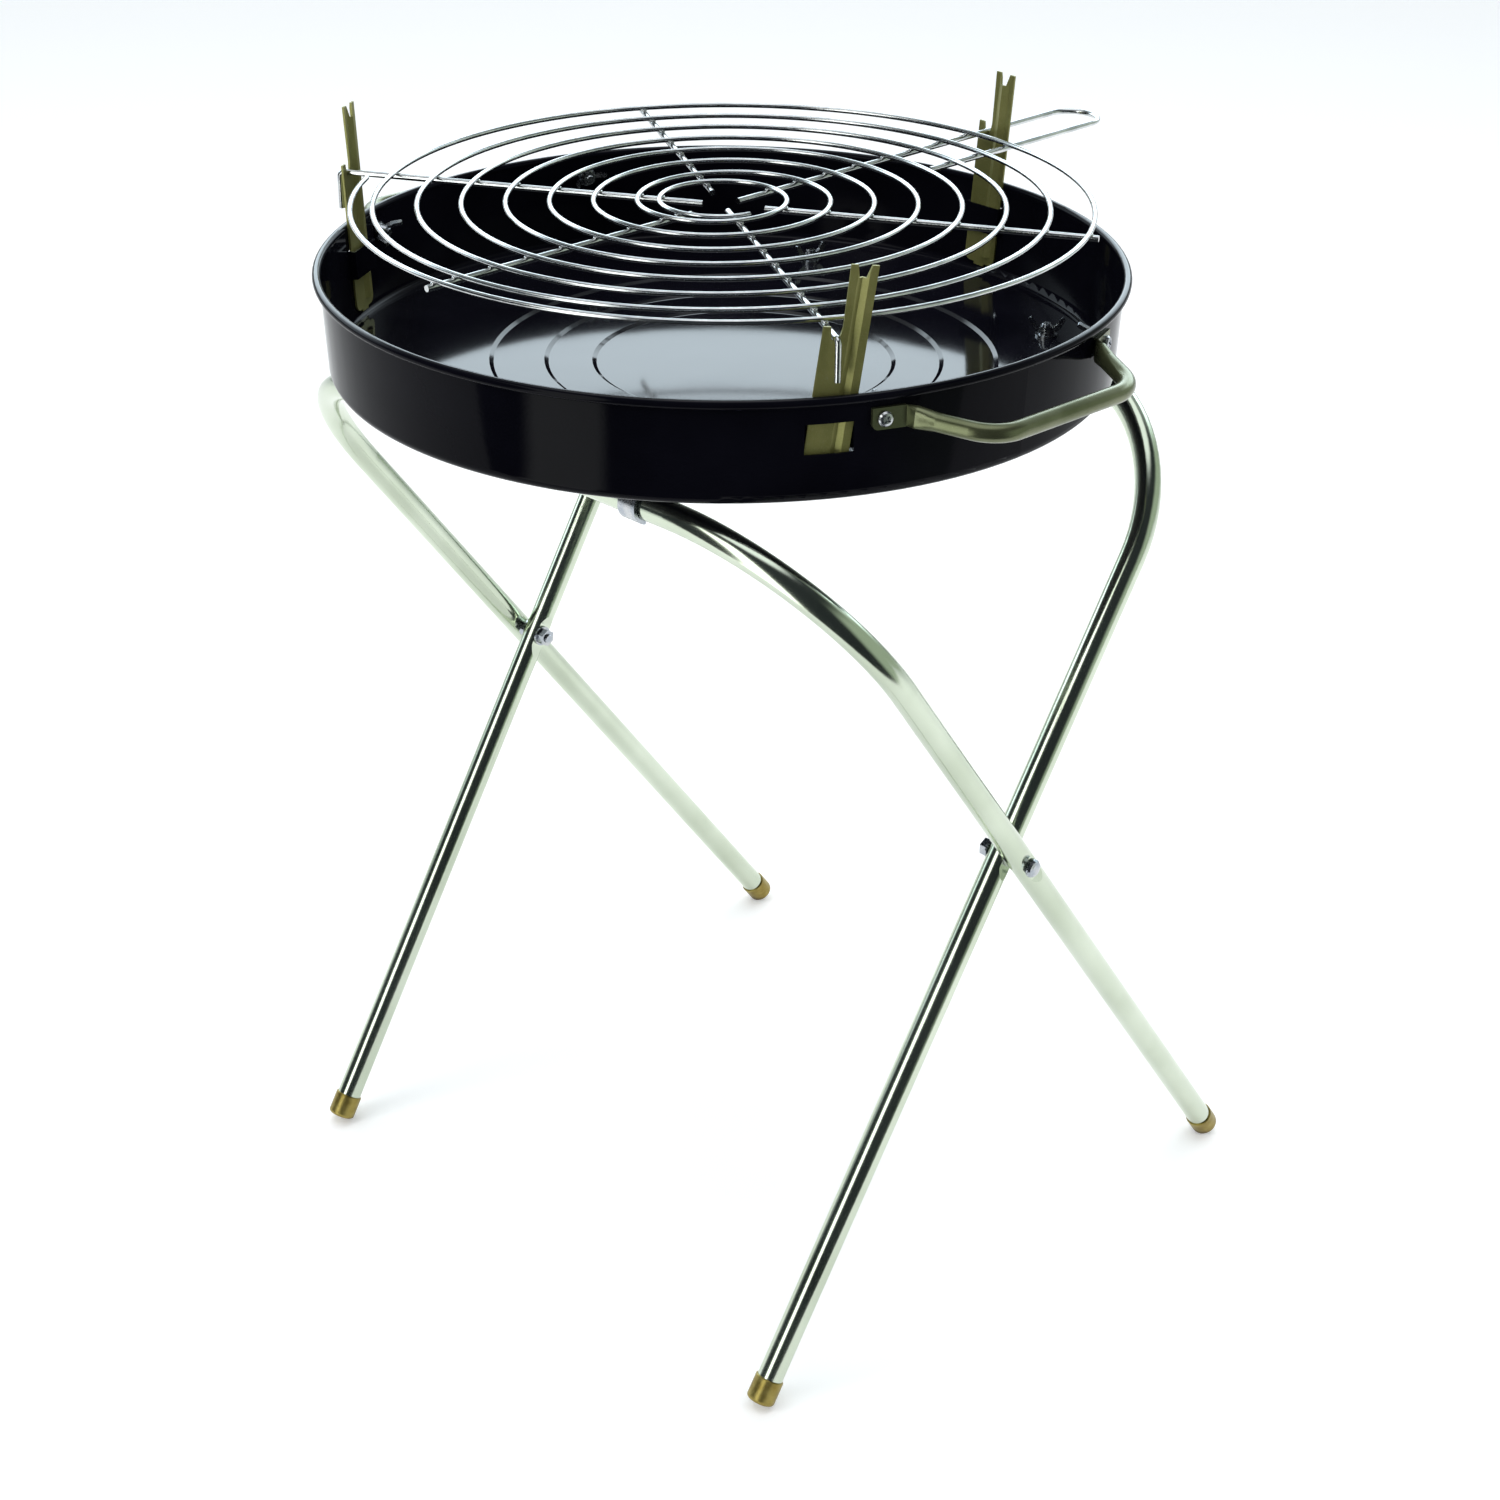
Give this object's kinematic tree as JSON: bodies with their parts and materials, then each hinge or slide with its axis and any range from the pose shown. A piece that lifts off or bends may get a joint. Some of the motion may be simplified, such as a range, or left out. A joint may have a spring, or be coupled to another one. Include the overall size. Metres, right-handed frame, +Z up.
{
  "type": "folding charcoal grill",
  "caption": "Folding charcoal grill: round enamelled fire pan on crossing tube hoops, slotted posts and a lift-off spiral wire grid.",
  "frame": {"origin": "on the ground under the middle of the grill's outline", "axes": "+X along the leg pivots and through both side handles, +Y towards the hairpin handle of the grid, +Z up"},
  "size_m": [0.5422, 0.5448, 0.6964],
  "materials": {
    "enamel": "glossy black vitreous enamel on pressed steel",
    "post_paint": "satin olive-gold paint on sheet steel",
    "handle_paint": "semi-gloss olive-bronze paint on tube",
    "wire_chrome": "bright plated wire",
    "tube_chrome": "bright plated tube",
    "cap_brass": "brassed pressed caps",
    "zinc": "bright zinc plate"
  },
  "bodies": {
    "pan": {"pan": "enamel", "post_left": "post_paint", "post_front": "post_paint", "post_back": "post_paint", "handle_right": "handle_paint", "handle_left": "handle_paint", "handle_screws": "zinc", "handle_washers": "zinc", "handle_wing_nuts": "zinc", "rear_bar_straps": "zinc", "front_bar_hooks": "zinc", "rear_floor_bolts": "zinc", "front_hook_rivets": "enamel", "floor_spacers": "zinc", "floor_washers": "zinc", "floor_wing_nuts": "zinc"},
    "inner_legs": {"inner_leg_hoop": "tube_chrome", "inner_foot_caps": "cap_brass"},
    "outer_legs": {"outer_leg_hoop": "tube_chrome", "outer_foot_caps": "cap_brass", "pivot_bolts": "zinc", "pivot_spacers": "zinc", "pivot_washers": "zinc", "pivot_nuts": "zinc"},
    "grid": {"grid_spiral": "wire_chrome", "grid_hook_wires": "wire_chrome", "grid_plain_wires": "wire_chrome", "grid_handle_wire": "wire_chrome"}
  },
  "joints": [
    {"name": "grid_lift", "type": "slide", "parent": "pan", "child": "grid", "axis": [0, 0, 1], "range_m": [0, 0.12]},
    {"name": "inner_leg_hinge", "type": "hinge", "parent": "pan", "child": "inner_legs", "pos_m": [0, 0.14392, 0.55048], "axis": [1, 0, 0], "range_deg": [0, 34.1]},
    {"name": "leg_scissor", "type": "hinge", "parent": "inner_legs", "child": "outer_legs", "pos_m": [0, -0.0104, 0.30703], "axis": [-1, 0, 0], "range_deg": [0, 55]}
  ],
  "couplings": [
    {"joint": "inner_leg_hinge", "follows": "leg_scissor", "ratio": 0.62}
  ]
}
